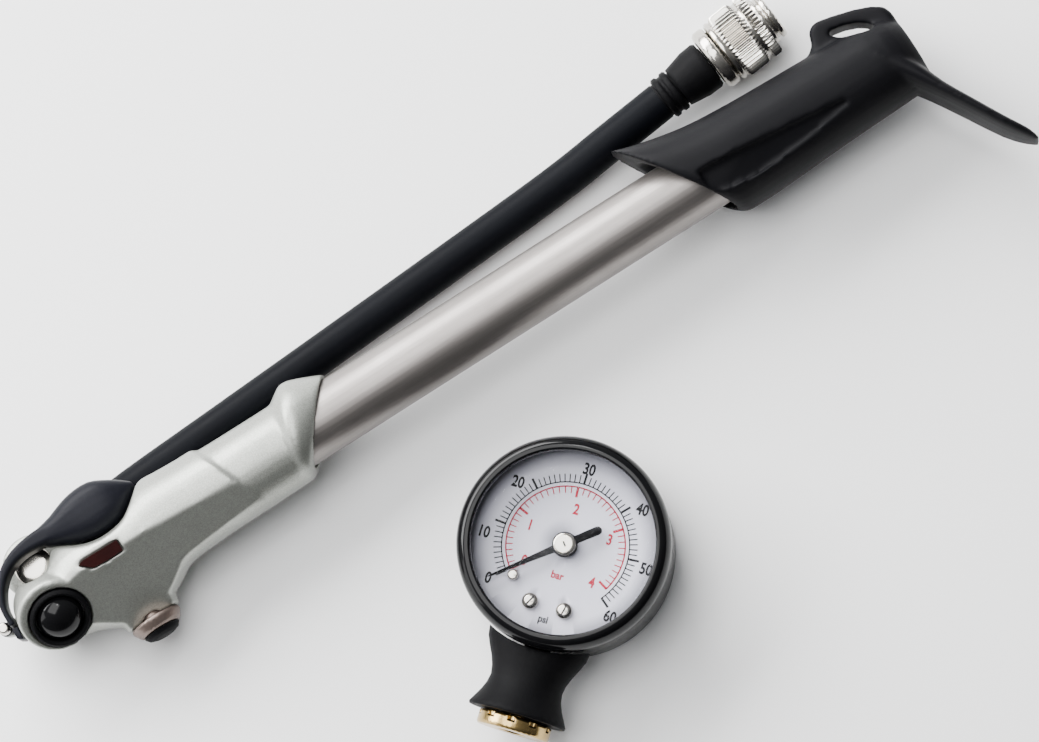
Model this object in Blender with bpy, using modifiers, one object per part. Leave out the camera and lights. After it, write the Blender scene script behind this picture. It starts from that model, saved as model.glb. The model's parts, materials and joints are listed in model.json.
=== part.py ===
"""Mini pump with a hose, a folding foot lever and a separate dial gauge.

The pump lies on its side: +X runs along the barrel from the head to the
handle, +Y is the hose side and +Z is up. Sizes are millimetres, and the
meshes are built in metres.
"""
import math

import bmesh
import bpy
from mathutils import Vector

MM = 0.001
GAP = 0.3            # between pieces that touch
FIT = 0.2            # between a shaft and its bore

# Pump lying on its side
REST_X = 12.0        # the frame's origin on the head's flat underside
REST_Y = -6.0
AXIS_Z = 14.0        # barrel axis above the surface

# Barrel and piston
BARREL_R = 8.0
BARREL_WALL = 1.2
BARREL_START = 31.3
BARREL_END = 226.0
ROD_R = 3.0
ROD_STUB_R = 1.9
ROD_END = 234.6
PISTON_X = 46.0
PISTON_LENGTH = 8.0
GUIDE_LENGTH = 8.0
FLANGE_LENGTH = 2.0

# Head
NOSE_R = 9.0
NOSE_TILT = math.radians(35)
NOSE_AT = (0.0, -6.2, 20.3)
NOSE_CAP_R = 5.5
NOSE_CAP_AT = (0.5, -1.0, 0.0)
BOSS_X = 18.3
BOSS_Z = 10.5
BOSS_R = 6.8
BOSS_END = -17.6
CAP_LENGTH = 3.0
PAD_LENGTH = 1.5
LABEL = [(-5.9, 1.3), (-4.4, 1.9), (5.3, 1.7), (5.3, -1.5), (0.7, -1.6), (-3.0, -1.3)]
LABEL_AT = (16.3, -1.1, 24.0)
ORING_X = 40.0
ORING_WIRE = 0.5

# Hose swivel
HUB_AT = (0.5, 8.5)
HUB_R = 7.8
HUB_LOW = 2.7
HUB_HIGH = 8.6
HOSE_R = 4.6
HOSE_Z = 4.65
STUB_R = 4.0
STUB_REACH = 11.5
STUB_YAW = math.radians(7.7)
BOLT_R = 2.2
BOLT_HEAD_R = 4.8
LUG_R = 7.0
LUG_HEIGHT = 2.4

# Foot lever
PIVOT_AT = (-12.45, -1.4)
PIN_R = 0.9
PIN_HEAD_R = 1.45
KNUCKLE_R = 1.6
LEVER_LOW = 10.6
LEVER_HIGH = 18.0
KNUCKLE_HIGH = 13.4

# Hose end and chuck
CHUCK_AT = (183.2, 22.2, 7.35)
CHUCK_YAW = math.radians(5.3)
CHUCK_RISE = math.radians(3.3)
CHUCK_R = 8.4
CHUCK_CORE_R = 6.2
CHUCK_BORE_R = 4.0
CHUCK_LENGTH = 32.6
KNURLS = 28

# Handle
GRIP_BORE_R = BARREL_R + 0.9
GRIP_BORE_END = 231.0
GRIP_END = 238.3

# Gauge
GAUGE_AT = (108.1, -56.0)
GAUGE_YAW = math.radians(-49)
CASE_R = 24.3
CASE_DEPTH = 20.0
CASE_WALL = 1.2
BEZEL_R = CASE_R + 0.5
BEZEL_TOP = CASE_DEPTH + 5.5
WINDOW_R = CASE_R - 3.0
LENS_Z = CASE_DEPTH + 1.9
LENS_THICK = 1.2
DIAL_Z = CASE_DEPTH - 3.0
DIAL_THICK = 0.8
STEM_Z = 12.0
STEM_R = 3.1
NECK_LENGTH = 15.8
FLARE_AT = CASE_R + NECK_LENGTH
FLARE_R = 11.6
NUT_R = 8.6
NUT_START = FLARE_AT + 0.9
NUT_LENGTH = 3.4
STEM_END = NUT_START + 0.7
NEEDLE_ZERO = math.radians(219)
STOP_AT = (-9.6, -9.9, 0)
DIAL_SCREW_X = 4.1
DIAL_SCREW_Y = -14.6


# ---------------------------------------------------------------- helpers
def clear_scene():
    """Remove every object that the scene holds."""
    for obj in list(bpy.data.objects):
        bpy.data.objects.remove(obj, do_unlink=True)


def collection(name):
    """Make a collection in the scene."""
    group = bpy.data.collections.new(name)
    bpy.context.scene.collection.children.link(group)
    return group


def material(name, colour, roughness, metallic):
    """Make a plain Principled material."""
    mat = bpy.data.materials.new(name)
    mat.use_nodes = True
    shader = mat.node_tree.nodes["Principled BSDF"]
    shader.inputs["Base Color"].default_value = (*colour, 1.0)
    shader.inputs["Roughness"].default_value = roughness
    shader.inputs["Metallic"].default_value = metallic
    return mat


def empty(name, at, turn=(0, 0, 0), parent=None):
    """Place an empty; at is in millimetres."""
    obj = bpy.data.objects.new(name, None)
    PARTS.objects.link(obj)
    obj.location = Vector(at) * MM
    obj.rotation_euler = turn
    obj.parent = parent
    return obj


def put(name, bm, mat, parent, at=(0, 0, 0), turn=(0, 0, 0)):
    """Turn a bmesh in millimetres into a placed object; mat None makes a cutter."""
    bmesh.ops.remove_doubles(bm, verts=bm.verts, dist=0.0005)
    bmesh.ops.recalc_face_normals(bm, faces=bm.faces)
    bmesh.ops.scale(bm, vec=(MM, MM, MM), verts=bm.verts)
    mesh = bpy.data.meshes.new(name)
    bm.to_mesh(mesh)
    bm.free()
    obj = bpy.data.objects.new(name, mesh)
    if mat is None:
        CUTTERS.objects.link(obj)
        obj.hide_render = True
        obj.display_type = "WIRE"
    else:
        PARTS.objects.link(obj)
        mesh.materials.append(mat)
    obj.parent = parent
    obj.location = Vector(at) * MM
    obj.rotation_euler = turn
    return obj


def turned(name, profile, mat, parent, at=(0, 0, 0), turn=(0, 0, 0), steps=24):
    """Turn a closed profile of (radius, height) about local Z."""
    mesh = bpy.data.meshes.new(name)
    bm = bmesh.new()
    verts = [bm.verts.new((r * MM, 0, h * MM)) for r, h in profile]
    on_axis = profile[0][0] == 0 and profile[-1][0] == 0
    for one, two in zip(verts, verts[1:]):
        bm.edges.new((one, two))
    if not on_axis:
        bm.edges.new((verts[-1], verts[0]))
    bm.to_mesh(mesh)
    bm.free()
    obj = bpy.data.objects.new(name, mesh)
    if mat is None:
        CUTTERS.objects.link(obj)
        obj.hide_render = True
        obj.display_type = "WIRE"
    else:
        PARTS.objects.link(obj)
        mesh.materials.append(mat)
    screw = obj.modifiers.new("turn", "SCREW")
    screw.axis = "Z"
    screw.steps = steps
    screw.render_steps = steps
    screw.use_merge_vertices = True
    screw.merge_threshold = 0.000002
    obj.parent = parent
    obj.location = Vector(at) * MM
    obj.rotation_euler = turn
    return obj


def rod(name, radius, low, high, mat, parent, at=(0, 0, 0), turn=(0, 0, 0), steps=24):
    """Make a plain cylinder along local Z."""
    profile = [(0, high), (radius, high), (radius, low), (0, low)]
    return turned(name, profile, mat, parent, at, turn, steps)


def ring(name, inner, outer, low, high, mat, parent, at=(0, 0, 0), turn=(0, 0, 0), steps=24):
    """Make a plain ring along local Z."""
    profile = [(outer, high), (outer, low), (inner, low), (inner, high)]
    return turned(name, profile, mat, parent, at, turn, steps)


def o_ring(name, radius, wire, mat, parent, at, turn, steps=24):
    """Make a ring of round section about local Z."""
    bm = bmesh.new()
    turns = 8
    loops = []
    for i in range(steps):
        a = 2 * math.pi * i / steps
        loops.append([bm.verts.new(((radius + wire * math.cos(2 * math.pi * j / turns)) * math.cos(a),
                                    (radius + wire * math.cos(2 * math.pi * j / turns)) * math.sin(a),
                                    wire * math.sin(2 * math.pi * j / turns)))
                      for j in range(turns)])
    for one, two in zip(loops, loops[1:] + loops[:1]):
        bridge(bm, one, two)
    return put(name, bm, mat, parent, at, turn)


def box(name, low, high, mat, parent, at=(0, 0, 0), turn=(0, 0, 0)):
    """Make a box between two corners."""
    bm = bmesh.new()
    bmesh.ops.create_cube(bm, size=1.0)
    for vert in bm.verts:
        for axis in range(3):
            middle = (low[axis] + high[axis]) / 2
            vert.co[axis] = middle + vert.co[axis] * (high[axis] - low[axis])
    return put(name, bm, mat, parent, at, turn)


def prism(name, outline, low, high, mat, parent, at=(0, 0, 0), turn=(0, 0, 0), bevel=0.0):
    """Extrude a plan outline along local Z, with an optional rounded edge."""
    bm = bmesh.new()
    face = bm.faces.new([bm.verts.new((x, y, low)) for x, y in outline])
    top = bmesh.ops.extrude_face_region(bm, geom=[face])
    bmesh.ops.translate(bm, vec=(0, 0, high - low),
                        verts=[v for v in top["geom"] if isinstance(v, bmesh.types.BMVert)])
    obj = put(name, bm, mat, parent, at, turn)
    if bevel:
        round_edges(obj, bevel)
    return obj


def bridge(bm, one, two):
    """Join two loops of as many vertices with quads."""
    count = len(one)
    for i in range(count):
        j = (i + 1) % count
        bm.faces.new((one[i], one[j], two[j], two[i]))


def loft(name, rings, mat, parent, at=(0, 0, 0), turn=(0, 0, 0)):
    """Skin a row of rings of as many points and close both ends."""
    bm = bmesh.new()
    loops = [[bm.verts.new(point) for point in points] for points in rings]
    for one, two in zip(loops, loops[1:]):
        bridge(bm, one, two)
    bm.faces.new(loops[0])
    bm.faces.new(loops[-1])
    return put(name, bm, mat, parent, at, turn)


def oval(x, y_low, y_high, z_low, z_high, shear=0.0, power=2.0, count=36):
    """One ring across X of a rounded section; shear leans it along X with Y."""
    points = []
    for i in range(count):
        a = 2 * math.pi * i / count
        c = math.copysign(abs(math.cos(a)) ** (2 / power), math.cos(a))
        s = math.copysign(abs(math.sin(a)) ** (2 / power), math.sin(a))
        y = (y_low + y_high) / 2 + (y_high - y_low) / 2 * c
        z = (z_low + z_high) / 2 + (z_high - z_low) / 2 * s
        points.append((x + shear * y, y, z))
    return points


def smooth(rows, per=3):
    """Read a smooth curve through rows of values, per steps between two rows."""
    out = []
    ends = [rows[0]] + list(rows) + [rows[-1]]
    for k in range(1, len(ends) - 2):
        a, b, c, d = ends[k - 1:k + 3]
        for step in range(per):
            t = step / per
            out.append(tuple(0.5 * (2 * q + (r - p) * t + (2 * p - 5 * q + 4 * r - s) * t * t
                                    + (3 * q - p - 3 * r + s) * t ** 3)
                             for p, q, r, s in zip(a, b, c, d)))
    out.append(tuple(rows[-1]))
    return out


def boolean(obj, other, operation):
    """Add an exact Boolean modifier."""
    mod = obj.modifiers.new(operation.lower(), "BOOLEAN")
    mod.operation = operation
    mod.solver = "EXACT"
    mod.object = other


def cut(obj, *others):
    """Cut the others out of the object."""
    for other in others:
        boolean(obj, other, "DIFFERENCE")


def join(obj, *others):
    """Join the others, which are cutter objects, to the object."""
    for other in others:
        boolean(obj, other, "UNION")


def round_edges(obj, width, segments=2, angle=40):
    """Round the sharp edges with a bevel."""
    mod = obj.modifiers.new("round", "BEVEL")
    mod.width = width * MM
    mod.segments = segments
    mod.limit_method = "ANGLE"
    mod.angle_limit = math.radians(angle)


def tube(name, points, radius, mat, parent, resolution=2):
    """Make a round tube along points with filled ends."""
    data = bpy.data.curves.new(name, "CURVE")
    data.dimensions = "3D"
    spline = data.splines.new("POLY")
    spline.points.add(len(points) - 1)
    for spot, point in zip(spline.points, points):
        spot.co = (*(Vector(point) * MM), 1.0)
    data.bevel_depth = radius * MM
    data.bevel_resolution = resolution
    data.use_fill_caps = True
    data.materials.append(mat)
    obj = bpy.data.objects.new(name, data)
    PARTS.objects.link(obj)
    obj.parent = parent
    return obj


ALONG_X = (0, math.pi / 2, 0)
TOWARD_MINUS_Y = (math.pi / 2, 0, 0)
BARREL_BORE_R = BARREL_R - BARREL_WALL


def wrap(x, front, rear, below, above, lean=0.0):
    """Section row around the barrel, from how far the wall stands out from it on each side."""
    return (x, -BARREL_R - front, BARREL_R + rear, AXIS_Z - BARREL_R - below, AXIS_Z + BARREL_R + above, lean)


# ------------------------------------------------------------------- head
def lever_leaf():
    """Plan rows of the lever's pad: x, low y, high y, high z."""
    return smooth([(6.0, 9.4, 14.4, 17.8), (10.0, 7.6, 15.2, 18.4), (14.0, 5.8, 16.6, 19.2),
                   (18.0, 5.0, 17.4, 19.6), (22.0, 5.2, 17.3, 19.4), (25.0, 6.1, 16.0, 18.7),
                   (28.0, 8.2, 14.2, 17.2), (30.6, 10.4, 12.2, 15.4)], 2)


def head_casting():
    """The cast head: body, collar, nose, boss, lug and all its pockets."""
    rows = smooth([
        (-7.5, -7.0, 0.0, 7.0, 15.5, 0.0), (-5.0, -9.6, 2.5, 2.0, 18.5, 0.0),
        (0.0, -11.6, 5.0, -1.2, 21.5, 0.0), (5.0, -12.6, 8.0, -1.6, 23.6, 0.0),
        (9.0, -14.4, 9.6, -1.6, 24.4, 0.0), (13.0, -16.2, 10.2, -1.6, 24.7, 0.0),
        (18.3, -16.6, 10.6, -1.6, 24.8, 0.0), (23.0, -16.0, 10.8, -1.4, 24.8, 0.0),
        wrap(27.5, 6.2, 3.2, 6.6, 2.8), wrap(31.5, 4.0, 3.4, 4.4, 2.7),
        wrap(36.0, 3.3, 2.9, 2.8, 2.7), wrap(44.0, 2.9, 2.6, 2.6, 2.6, -0.2),
        wrap(50.4, 2.8, 2.6, 2.6, 2.6, -0.4)], 2)
    rows += smooth([
        wrap(51.4, 2.8, 1.7, 2.4, 1.7, -0.4), wrap(58.0, 2.7, 1.6, 2.2, 1.6, -0.05),
        wrap(66.4, 2.6, 1.6, 2.2, 1.6, 0.1)], 2)
    rows += smooth([
        wrap(68.3, 2.6, 4.2, 3.2, 3.0, 0.25), wrap(69.9, 2.5, 4.3, 3.2, 3.2, 0.3),
        wrap(72.8, 2.0, 2.6, 2.4, 2.2, 0.5), wrap(75.4, 0.8, 0.8, 0.8, 0.8, 0.75)], 2)
    rings = [oval(x, y0, y1, z0, z1, lean, 2.1, 36) for x, y0, y1, z0, z1, lean in rows]
    casting = loft("head_casting", rings, PEARL, PUMP)

    nose = [(0, 0), (NOSE_R - 0.8, 0), (NOSE_R - 0.2, -0.3), (NOSE_R, -1.0), (NOSE_R, -7.5),
            (NOSE_R - 2.0, -11.0), (0, -12.0)]
    boss = [(0, -BOSS_END), (BOSS_R - 0.2, -BOSS_END), (BOSS_R, -BOSS_END - 0.4),
            (BOSS_R + 1.2, -BOSS_END - 5), (0, -BOSS_END - 6)]
    join(casting,
         turned("nose_form", nose, None, NOSE, steps=36),
         turned("boss_form", boss, None, PUMP, (BOSS_X, 0, BOSS_Z), TOWARD_MINUS_Y))
    cut(casting, box("flank_cut", (-60, -60, 0), (66, 60, 40), None, PUMP,
                     (0, NOSE_AT[1], NOSE_AT[2] + 0.4), (NOSE_TILT, math.radians(-1.6), 0)))
    join(casting, turned("nose_rim_form", nose, None, NOSE, (0, 0, 0.8), steps=36))
    cut(casting, box("under_cut", (-60, -60, -20), (120, 60, 0), None, PUMP))

    # Recess that the lever folds into, with a sloped wall
    leaf = lever_leaf()
    outline = ([(x, y0) for x, y0, y1, z1 in leaf] + [(32.2, 11.6), (36.0, 16.0), (36.0, 26.0)]
               + [(-16.0, 26.0), (-16.0, 3.0), (-9.4, -2.4), (-9.4, 1.2), (-7.0, 5.5), (-3.0, 8.3)])
    walls = ((LEVER_LOW - 0.9, 0.5), (LEVER_HIGH, 0.9), (AXIS_Z + 14, 3.6))
    recess = [[(x, y - drop, z) for x, y in outline] for z, drop in walls]
    cut(casting, loft("recess_cut", recess, None, PUMP))

    # Lug for the lever's pin
    px, py = PIVOT_AT
    join(casting, prism("pin_lug_form", [(px, py - 1.5), (-4.3, -4.7), (-4.3, 1.4), (px, py + 1.5),
                                         (px - 1.1, py + 1.0), (px - 1.5, py), (px - 1.1, py - 1.0)],
                        6.6, LEVER_LOW - GAP, None, PUMP))
    cut(casting, rod("pin_bore", PIN_R + FIT, 7.4, 20, None, PUMP, (px, py, 0), steps=20))

    # Pocket for the hose swivel, its trough and the lug below it
    x, y = HUB_AT
    cut(casting,
        rod("hub_cut", HUB_R + 0.5, -3, LEVER_LOW - 0.4, None, PUMP, (x, y, 0), steps=36),
        rod("bolt_head_cut", BOLT_HEAD_R + 0.5, HUB_LOW, 40, None, PUMP, (x, y, 0)),
        prism("trough_cut", [(0, 3.4), (34, 7.8), (50, 8.5), (50, 40), (-20, 40), (-20, 8.5), (0, 8.5)],
              -2.5, LEVER_LOW - 0.6, None, PUMP))
    lug = rod("lug_form", LUG_R, 0.3, LUG_HEIGHT, None, PUMP, (x, y, 0), (0, 0, 0.05), 28)
    join(casting, lug, box("lug_web_form", (-4.5, -3.5, 0.4), (5.5, 4.0, LUG_HEIGHT - 0.2), None, PUMP))
    cut(casting, rod("lug_bore", BOLT_R + FIT, -2, LUG_HEIGHT + 1, None, PUMP, (x, y, 0)))

    # Bores for the barrel, its seal, the valve, the nose cap and the boss plug
    groove = BARREL_R + 2 * ORING_WIRE + 0.5
    socket = BARREL_R + GAP
    bore = [(0, 120), (socket, 120), (socket, ORING_X + 1.1), (groove, ORING_X + 1.1),
            (groove, ORING_X - 1.1), (socket, ORING_X - 1.1), (socket, BARREL_START - GAP),
            (4.6, BARREL_START - GAP), (4.6, 23.0), (0, 23.0)]
    cut(casting,
        turned("barrel_socket", bore, None, PUMP, (0, 0, AXIS_Z), ALONG_X, 32),
        rod("air_bore", 1.7, 3.1, 24.6, None, PUMP, (0, 0.3, AXIS_Z - 4.3), (0, math.radians(89), 0), 13),
        rod("nose_pocket", NOSE_CAP_R + 2.0, -1.6, 6, None, NOSE_CAP, steps=36),
        rod("nose_thread", 3.2, -7.5, 0, None, NOSE_CAP, steps=18),
        rod("boss_thread", 3.4, -BOSS_END - 8, 40, None, PUMP, (BOSS_X, 0, BOSS_Z), TOWARD_MINUS_Y, 18),
        prism("label_pocket", LABEL, -1.0, 12, None, PUMP, LABEL_AT, (math.radians(7), 0, 0)))


def head_trim():
    """Nose ring and cap, label inlay, boss cap and pad."""
    rim = [(NOSE_CAP_R + 1.7, 1.0), (NOSE_CAP_R + 1.7, -1.3), (NOSE_CAP_R + 0.3, -1.3),
           (NOSE_CAP_R + 0.3, 1.1), (NOSE_CAP_R + 0.9, 1.6)]
    turned("nose_ring", rim, RUBBER, NOSE_CAP, steps=36)
    cap = [(0, 3.4), (1.4, 3.28), (2.7, 2.85), (3.9, 2.1), (4.9, 1.1), (NOSE_CAP_R, -0.1),
           (NOSE_CAP_R, -1.3), (2.9, -1.3), (2.9, -7.0), (0, -7.0)]
    turned("nose_cap", cap, GLOSS_BLACK, NOSE_CAP, steps=32)

    inlay = [(x * 0.94, y * 0.86) for x, y in LABEL]
    prism("label_inlay", inlay, -0.7, 0.45, MAROON, PUMP, LABEL_AT, (math.radians(7), 0, 0))

    at = (BOSS_X, 0, BOSS_Z)
    end = -BOSS_END
    cap = [(0, end + CAP_LENGTH), (4.7, end + CAP_LENGTH), (5.4, end + CAP_LENGTH - 0.5),
           (BOSS_R - 0.5, end + 0.9), (BOSS_R - 0.6, end + GAP), (3.1, end + GAP),
           (3.1, end - 7.0), (0, end - 7.0)]
    turned("boss_cap", cap, BRONZE, PUMP, at, TOWARD_MINUS_Y)
    low = end + CAP_LENGTH + GAP
    pad = [(0, low + PAD_LENGTH), (2.6, low + PAD_LENGTH - 0.1), (3.9, low + PAD_LENGTH - 0.6),
           (4.6, low), (0, low)]
    turned("boss_pad", pad, RUBBER, PUMP, at, TOWARD_MINUS_Y)


def barrel_group():
    """Barrel, its seal, the valve flap, the guide and the bumper in its end."""
    at = (0, 0, AXIS_Z)
    ring("barrel_tube", BARREL_BORE_R, BARREL_R, BARREL_START, BARREL_END, TITANIUM, PUMP, at,
         ALONG_X, 40)
    o_ring("barrel_seal", BARREL_R + FIT + ORING_WIRE, ORING_WIRE, RUBBER, PUMP,
           (ORING_X, 0, AXIS_Z), ALONG_X)
    seat = [(4.3, 26.0), (4.3, 23.2), (1.5, 23.2), (1.5, 26.0)]
    turned("valve_seat", seat, BRASS, PUMP, at, ALONG_X)
    flap = [(0, 30.4), (1.0, 30.4), (1.2, 27.6), (3.9, 27.2), (4.1, 26.3), (0, 26.3)]
    turned("valve_flap", flap, RUBBER, PUMP, at, ALONG_X)
    guide_start = BARREL_END - GUIDE_LENGTH
    plug = BARREL_BORE_R - FIT
    bore = ROD_R + FIT
    guide = [(BARREL_R - 0.2, BARREL_END + GAP + FLANGE_LENGTH), (BARREL_R - 0.2, BARREL_END + GAP),
             (plug, BARREL_END + GAP), (plug, guide_start), (bore, guide_start),
             (bore, BARREL_END + GAP + FLANGE_LENGTH)]
    turned("rod_guide", guide, MATT_BLACK, PUMP, at, ALONG_X)
    ring("top_bumper", bore, plug - 0.3, guide_start - 3.6, guide_start - GAP, RUBBER, PUMP, at,
         ALONG_X)


def lever_group():
    """Foot lever on its pin, and the fixed cover beside the pin."""
    px, py = PIVOT_AT
    pin = [(0, LEVER_LOW + 6.0), (PIN_HEAD_R - 0.4, LEVER_LOW + 5.9), (PIN_HEAD_R, LEVER_LOW + 5.4),
           (PIN_HEAD_R, KNUCKLE_HIGH + GAP), (PIN_R, KNUCKLE_HIGH + GAP), (PIN_R, 7.7), (0, 7.7)]
    turned("lever_pin", pin, NICKEL, PUMP, (px, py, 0), steps=24)

    # Arm: centreline and half thickness in plan
    arm = smooth([(-10.15, -2.2, 0.72), (-10.15, 0.6, 0.75), (-9.7, 3.4, 0.85), (-8.1, 6.6, 1.0),
                  (-5.8, 9.2, 1.2), (-3.0, 10.9, 1.4), (0.5, 11.9, 1.65), (5.0, 12.1, 2.1),
                  (11.0, 11.6, 2.6)], 2)
    rings = []
    for k, (x, y, half) in enumerate(arm):
        ahead = arm[min(k + 1, len(arm) - 1)]
        back = arm[max(k - 1, 0)]
        along = Vector((ahead[0] - back[0], ahead[1] - back[1], 0)).normalized()
        side = Vector((-along.y, along.x, 0))
        middle = (LEVER_LOW + LEVER_HIGH) / 2
        tall = (LEVER_HIGH - LEVER_LOW) / 2
        points = []
        for i in range(12):
            a = 2 * math.pi * (i + 0.5) / 12
            c = math.copysign(abs(math.cos(a)) ** 0.45, math.cos(a))
            s = math.copysign(abs(math.sin(a)) ** 0.45, math.sin(a))
            points.append(tuple(Vector((x, y, middle)) + side * half * c + Vector((0, 0, tall * s))))
        rings.append(points)
    pivot = empty("lever_pivot", (px, py, 0), parent=PUMP)
    back_to_pump = (-px, -py, 0)
    lever = loft("foot_lever", rings, BLUE_BLACK, pivot, back_to_pump)
    pad = [oval(x, y0, y1, 2 * LEVER_LOW + 1.2 - z1 if 2 * LEVER_LOW + 1.2 - z1 > LEVER_LOW else LEVER_LOW,
                z1, 0.0, 2.5, 24) for x, y0, y1, z1 in lever_leaf()]
    join(lever, loft("pad_form", pad, None, pivot, back_to_pump),
         rod("knuckle_form", KNUCKLE_R, LEVER_LOW, KNUCKLE_HIGH, None, pivot, steps=24),
         box("web_form", (0.4, -0.8, LEVER_LOW), (2.4, 0.8, KNUCKLE_HIGH), None, pivot))
    cut(lever, rod("knuckle_bore", PIN_R + FIT, 0, 30, None, pivot, steps=20))

    prism("hinge_cover", [(-10.9, -5.4), (-9.6, -6.2), (-9.4, -2.9), (-10.8, -2.9)],
          LEVER_LOW - 0.2, LEVER_HIGH - 1, BLUE_BLACK, PUMP, bevel=0.2)


def hose_group():
    """Swivel hub with its bolt, the hose, and the chuck at its end."""
    x, y = HUB_AT
    bolt = [(0, HUB_HIGH + 1.7), (3.0, HUB_HIGH + 1.6), (BOLT_HEAD_R - 0.2, HUB_HIGH + 1.0),
            (BOLT_HEAD_R, HUB_HIGH + GAP), (BOLT_R, HUB_HIGH + GAP), (BOLT_R, 0.4), (0, 0.4)]
    turned("hub_bolt", bolt, NICKEL, PUMP, (x, y, 0))

    hub = [(HUB_R - 1.2, HUB_HIGH), (HUB_R - 0.3, HUB_HIGH - 0.5), (HUB_R, HUB_HIGH - 1.4),
           (HUB_R, HUB_LOW), (BOLT_R + FIT, HUB_LOW), (BOLT_R + FIT, HUB_HIGH)]
    swivel = turned("hose_hub", hub, PEARL, HOSE, steps=36)
    stub = rod("stub_form", STUB_R, BOLT_R + 1.6, STUB_REACH, None, HOSE, (0, 0, HOSE_Z),
               (0, math.pi / 2, STUB_YAW))
    join(swivel, stub)
    cut(swivel, rod("hub_under_cut", LUG_R + 0.5, -1, HUB_LOW, None, HOSE, steps=36),
        rod("hub_air_bore", 1.5, 4.2, STUB_REACH + 2, None, HOSE, (0, 0, HOSE_Z),
            (0, math.pi / 2, STUB_YAW), 16))

    start = (x + (STUB_REACH + GAP) * math.cos(STUB_YAW), y + (STUB_REACH + GAP) * math.sin(STUB_YAW))
    route = [(*start, HOSE_Z), (20.0, 11.3, HOSE_Z), (30.0, 12.5, HOSE_Z), (55.0, 13.8, HOSE_Z),
             (80.0, 15.1, HOSE_Z), (115.0, 17.0, HOSE_Z), (150.0, 19.1, HOSE_Z), (168.0, 20.75, 6.15),
             (182.8, 22.16, 7.32)]
    points = [(px - x, py - y, pz) for px, py, pz in smooth(route, 3)]
    tube("hose_tube", points, HOSE_R, HOSE_RUBBER, HOSE)

    collar = [(0, 4.2), (4.9, 4.2), (5.35, 3.8), (5.35, 2.8), (4.9, 2.4), (4.9, 1.8), (5.35, 1.4),
              (5.35, 0.4), (4.8, 0), (0, 0)]
    turned("hose_collar", collar, RUBBER, CHUCK, steps=20)
    boot = [(0, 13.6), (5.7, 13.6), (6.2, 12.8), (6.1, 9.5), (5.5, 6.5), (5.1, 4.5), (0, 4.5)]
    turned("hose_boot", boot, RUBBER, CHUCK, steps=20)

    back = 13.9
    core = CHUCK_CORE_R
    body = [(CHUCK_BORE_R, CHUCK_LENGTH), (core - 0.6, CHUCK_LENGTH), (core - 0.2, CHUCK_LENGTH - 0.4),
            (core - 0.2, CHUCK_LENGTH - 1.3), (core - 0.8, CHUCK_LENGTH - 1.6),
            (core - 0.8, CHUCK_LENGTH - 2.2), (core + 0.1, CHUCK_LENGTH - 2.5),
            (core + 0.1, CHUCK_LENGTH - 3.6), (core - 0.3, CHUCK_LENGTH - 3.9),
            (core, 28.2), (core, 17.4), (7.4, 17.3), (7.8, 16.8), (7.8, 14.9),
            (7.2, 14.2), (6.2, back), (1.5, back), (1.5, 23.6), (CHUCK_BORE_R, 23.6)]
    turned("chuck_body", body, NICKEL, CHUCK, steps=28)
    ring("chuck_seal", 1.7, CHUCK_BORE_R - FIT, 23.9, 26.4, RUBBER, CHUCK)
    pin = [(0, 28.2), (0.7, 28.0), (0.7, 23.0), (1.2, 23.0), (1.2, 19.0), (0, 19.0)]
    turned("valve_pin", pin, BRASS, CHUCK, steps=20)

    knurled = [(17.7, CHUCK_R - 0.8, 0), (18.2, CHUCK_R - 0.4, 0), (19.0, CHUCK_R - 0.4, 0),
               (19.4, CHUCK_R - 0.7, 0), (20.6, CHUCK_R, 0.5), (25.2, CHUCK_R, 0.5),
               (26.0, CHUCK_R - 0.8, 0), (26.6, CHUCK_R - 0.8, 0), (27.0, CHUCK_R, 0),
               (27.3, CHUCK_R, 0.45), (28.9, CHUCK_R, 0.45), (29.2, CHUCK_R - 0.9, 0)]
    rings = []
    for s, radius, depth in knurled:
        row = []
        for i in range(KNURLS * 2):
            a = math.pi * i / KNURLS
            r = radius - depth * (i % 2)
            row.append((r * math.cos(a), r * math.sin(a), s))
        rings.append(row)
    grip = loft("chuck_ring", rings, NICKEL, CHUCK)
    cut(grip, rod("chuck_ring_bore", CHUCK_CORE_R + GAP, 10, 40, None, CHUCK, steps=28))


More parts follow.
